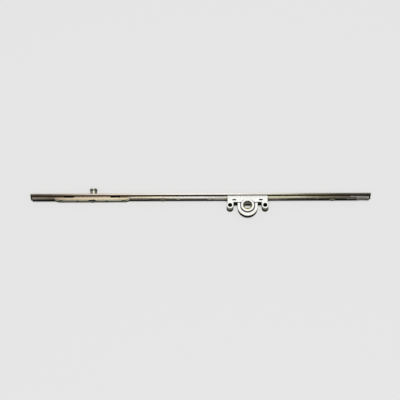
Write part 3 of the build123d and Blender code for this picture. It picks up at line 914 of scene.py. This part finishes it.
def endCap(radius, end, inward, values):
    # The end is a parabola, y = end + inward dome (r / (radius - edge))^2 with inward 1 or -1, and its
    # rim is a quarter circle
    edge = values["edge"]
    flat = np.linspace(0, radius - edge, capSteps)
    turn = np.linspace(0, pi / 2, edgeSteps + 1)[1:]
    radii = np.concatenate([flat, radius + edge * (np.sin(turn) - 1)])
    fall = np.concatenate([np.zeros(capSteps), edge * (1 - np.cos(turn))])
    share = np.minimum(radii / (radius - edge), 1)
    return radii, end + inward * (values["dome"] * share ** 2 + fall)


def rivetProfile(radius, low, high, values):
    # Two caps with the rim between them, and a step down to the shank where the rivet has a head
    shank = values.get("shank", radius)
    nearRadii, nearPlaces = endCap(radius, low, 1, values)
    farRadii, farPlaces = endCap(shank, high, -1, values)
    stepRadii, stepPlaces = [], []
    if shank < radius:
        stepRadii = [radius, shank]
        stepPlaces = [low + values["head"], low + values["head"]]
    radii = np.concatenate([nearRadii, stepRadii, farRadii[::-1]])
    places = np.concatenate([nearPlaces, stepPlaces, farPlaces[::-1]])
    return radii, places


def ringProfile(radius, low, high, values):
    # A closed loop: the outside is a shallow parabola, r = radius - crown s^2 with s from -1 to 1,
    # and all four corners are quarter circles
    edge, crown, bore = values["edge"], values["crown"], values["bore"]
    inner, outer = edge / 2, radius - crown
    middle, half = (low + high) / 2, (high - low) / 2 - edge
    share = np.linspace(-1, 1, 2 * capSteps + 1)
    turn = np.linspace(0, pi / 2, edgeSteps + 1)
    growing, shrinking = 1 - np.cos(turn), 1 - np.sin(turn)
    radii = np.concatenate([
        radius - crown * share ** 2, outer - edge * growing[1:],
        bore + inner * shrinking, bore + inner * growing, outer - edge * shrinking[:-1],
    ])
    places = np.concatenate([
        middle + half * share, high - edge * shrinking[1:],
        high - inner * growing, low + inner * shrinking, low + edge * growing[:-1],
    ])
    return radii, places


def turnedMesh(radii, places, centre, ring):
    # x = centre + r cos(a), z = centre + r sin(a), y = place, for every profile point and every angle a
    if not ring:
        radii, places, poles = radii[1:-1], places[1:-1], places[[0, -1]]
    turn = np.linspace(0, 2 * pi, turnSegments, endpoint=False)
    x = centre[0] + np.outer(radii, np.cos(turn))
    z = centre[1] + np.outer(radii, np.sin(turn))
    y = np.repeat(places, turnSegments).reshape(x.shape)
    points = np.stack([x, y, z], axis=-1).reshape(-1, 3)
    grid = np.arange(x.size).reshape(x.shape)
    beside = np.roll(grid, -1, axis=1)
    above, across = np.roll(grid, -1, axis=0), np.roll(beside, -1, axis=0)
    quads = np.stack([grid, above, across, beside], axis=-1)
    if ring:
        return points, quads.reshape(-1, 4).tolist()
    points = np.concatenate([points, [[centre[0], place, centre[1]] for place in poles]])
    near, far = x.size + np.zeros_like(grid[0]), x.size + 1 + np.zeros_like(grid[0])
    fans = np.concatenate([
        np.stack([near, grid[0], beside[0]], axis=-1),
        np.stack([far, beside[-1], grid[-1]], axis=-1),
    ])
    return points, quads[:-1].reshape(-1, 4).tolist() + fans.tolist()


def turnedPiece(node, values):
    low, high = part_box(node)
    radius, middle = (high.z - low.z) / 2, (high.z + low.z) / 2
    if values.get("pair"):
        centres = [(low.x + radius, middle), (high.x - radius, middle)]
    else:
        centres = [((low.x + high.x) / 2, middle)]
    ring = "bore" in values
    radii, places = (ringProfile if ring else rivetProfile)(radius, low.y, high.y, values)
    points, faces = [], []
    for centre in centres:
        more, moreFaces = turnedMesh(radii, places, centre, ring)
        start = sum(len(block) for block in points)
        points.append(more)
        faces += [[corner + start for corner in face] for face in moreFaces]
    mesh = bpy.data.meshes.new(values["name"])
    mesh.from_pydata(np.concatenate(points).tolist(), [], faces)
    smoothMesh(mesh, turnedSharpAngle, node)
    addPiece(values["name"], mesh, node)


for nodeName, values in turnedPieces.items():
    turnedPiece(nodeName, values)
print("turned pieces made:", len(turnedPieces))


# The table top, the studio's light and the camera
studio = {
    "floorColor": (0.83, 0.83, 0.83),
    "floorSize": 6.0,
    "floorRoughness": 0.6,
    "floorGlow": 0.8,    # share of the floor's own colour that is seen without the broad shadow
    "contactReach": 4.2 * mm,
    "contactLimits": (0.15, 0.72),
    "contactShadowColor": (0.05, 0.05, 0.05),
    "worldLevel": 0.34,
}
lamps = {
    "softbox": {
        "width": 1.5, "height": 1.1, "target": (0.03, 0, 0), "distance": 1.4, "azimuth": 180,
        "elevation": 78, "power": 1.0,
    },
    "front_lamp": {
        "width": 1.5, "height": 1.2, "target": (0, 0, 0), "distance": 1.9, "azimuth": 0,
        "elevation": 68, "power": 18.0,
    },
}


def seenRay(tree):
    # 1 for rays that the camera, a mirror or glass sees, 0 for the light itself
    ray = addNode(tree, "ShaderNodeLightPath").outputs
    mirrored = mathNode(tree, "ADD", ray["Is Glossy Ray"], ray["Is Transmission Ray"])
    return mathNode(tree, "ADD", ray["Is Camera Ray"], mirrored, clamp=True)


def makeFloor(values):
    half = values["floorSize"] / 2
    corners = [(-half, -half), (half, -half), (half, half), (-half, half)]
    mesh = bpy.data.meshes.new("table_top")
    mesh.from_pydata([(x, y, cadLow.z) for x, y in corners], [], [(0, 1, 2, 3)])
    floor = bpy.data.objects.new("table_top", mesh)
    bpy.context.scene.collection.objects.link(floor)
    material, tree, shader = startMaterial("tableTop", metallic=0.0)
    setInputs(tree, shader, {"Base Color": values["floorColor"], "Roughness": values["floorRoughness"]})
    # The floor's glow carries a painted contact shadow, darker where ambient occlusion finds the lock
    # close by
    contact = addNode(tree, "ShaderNodeAmbientOcclusion", samples=16)
    contact.inputs["Distance"].default_value = values["contactReach"]
    near = smoothStep(tree, contact.outputs["AO"], *values["contactLimits"])
    shaded = mixColor(tree, near, values["contactShadowColor"], values["floorColor"])
    plain = addNode(tree, "ShaderNodeEmission")
    tree.links.new(shaded, plain.inputs["Color"])
    glow = mathNode(tree, "MULTIPLY", seenRay(tree), values["floorGlow"])
    blended = addNode(tree, "ShaderNodeMixShader")
    setInputs(tree, blended, {0: glow, 1: shader.outputs[0], 2: plain.outputs[0]})
    tree.links.new(blended.outputs[0], tree.nodes["Material Output"].inputs["Surface"])
    mesh.materials.append(material)


def makeWorld(values):
    world = bpy.data.worlds.new("studio")
    bpy.context.scene.world = world
    world.use_nodes = True
    tree = world.node_tree
    background = tree.nodes["Background"]
    setInputs(tree, background, {"Color": (1, 1, 1), "Strength": values["worldLevel"]})
    seen = addNode(tree, "ShaderNodeBackground")
    setInputs(tree, seen, {"Color": values["floorColor"]})
    chosen = addNode(tree, "ShaderNodeMixShader")
    setInputs(tree, chosen, {0: seenRay(tree), 1: background.outputs[0], 2: seen.outputs[0]})
    tree.links.new(chosen.outputs[0], tree.nodes["World Output"].inputs["Surface"])


def aimFrom(azimuth, elevation):
    # Unit vector from the lock to a lamp or camera: azimuth 0 is on the viewer's side, -Y
    turn, rise = radians(azimuth), radians(elevation)
    return Vector((sin(turn) * cos(rise), -cos(turn) * cos(rise), sin(rise)))


def makeLamp(name, values):
    lamp = bpy.data.lights.new(name, "AREA")
    lamp.shape = "RECTANGLE"
    lamp.size = values["width"]
    lamp.size_y = values["height"]
    lamp.energy = values["power"]
    item = bpy.data.objects.new(name, lamp)
    back = aimFrom(values["azimuth"], values["elevation"])
    item.location = Vector(values["target"]) + back * values["distance"]
    item.rotation_mode = "QUATERNION"
    item.rotation_quaternion = (-back).to_track_quat("-Z", "Y")
    bpy.context.scene.collection.objects.link(item)


makeFloor(studio)
makeWorld(studio)
for lampName, values in lamps.items():
    makeLamp(lampName, values)

cameraView = {
    "pixels": 400,
    "pixelSize": 1.2268 * mm,    # length on the lock that one pixel of the photograph shows
    "aim": (-58.25 * mm, 9.15 * mm, 0),
    "elevation": 68,
    "roll": -0.2,
    "distance": 3.0,
    "sensor": 36,
}


def makeCamera(values):
    camera = bpy.data.cameras.new("camera")
    camera.sensor_width = values["sensor"]
    camera.lens = values["sensor"] * values["distance"] / (values["pixels"] * values["pixelSize"])
    item = bpy.data.objects.new("camera", camera)
    back = aimFrom(0, values["elevation"])
    right = Vector((1, 0, 0))
    up = back.cross(right)
    basis = Matrix((right, up, back)).transposed().to_4x4()
    item.matrix_world = (
        Matrix.Translation(Vector(values["aim"]) + back * values["distance"])
        @ basis
        @ Matrix.Rotation(radians(values["roll"]), 4, "Z")
    )
    bpy.context.scene.collection.objects.link(item)
    bpy.context.scene.camera = item


makeCamera(cameraView)
bpy.context.scene.view_settings.view_transform = "Standard"
print("studio made")
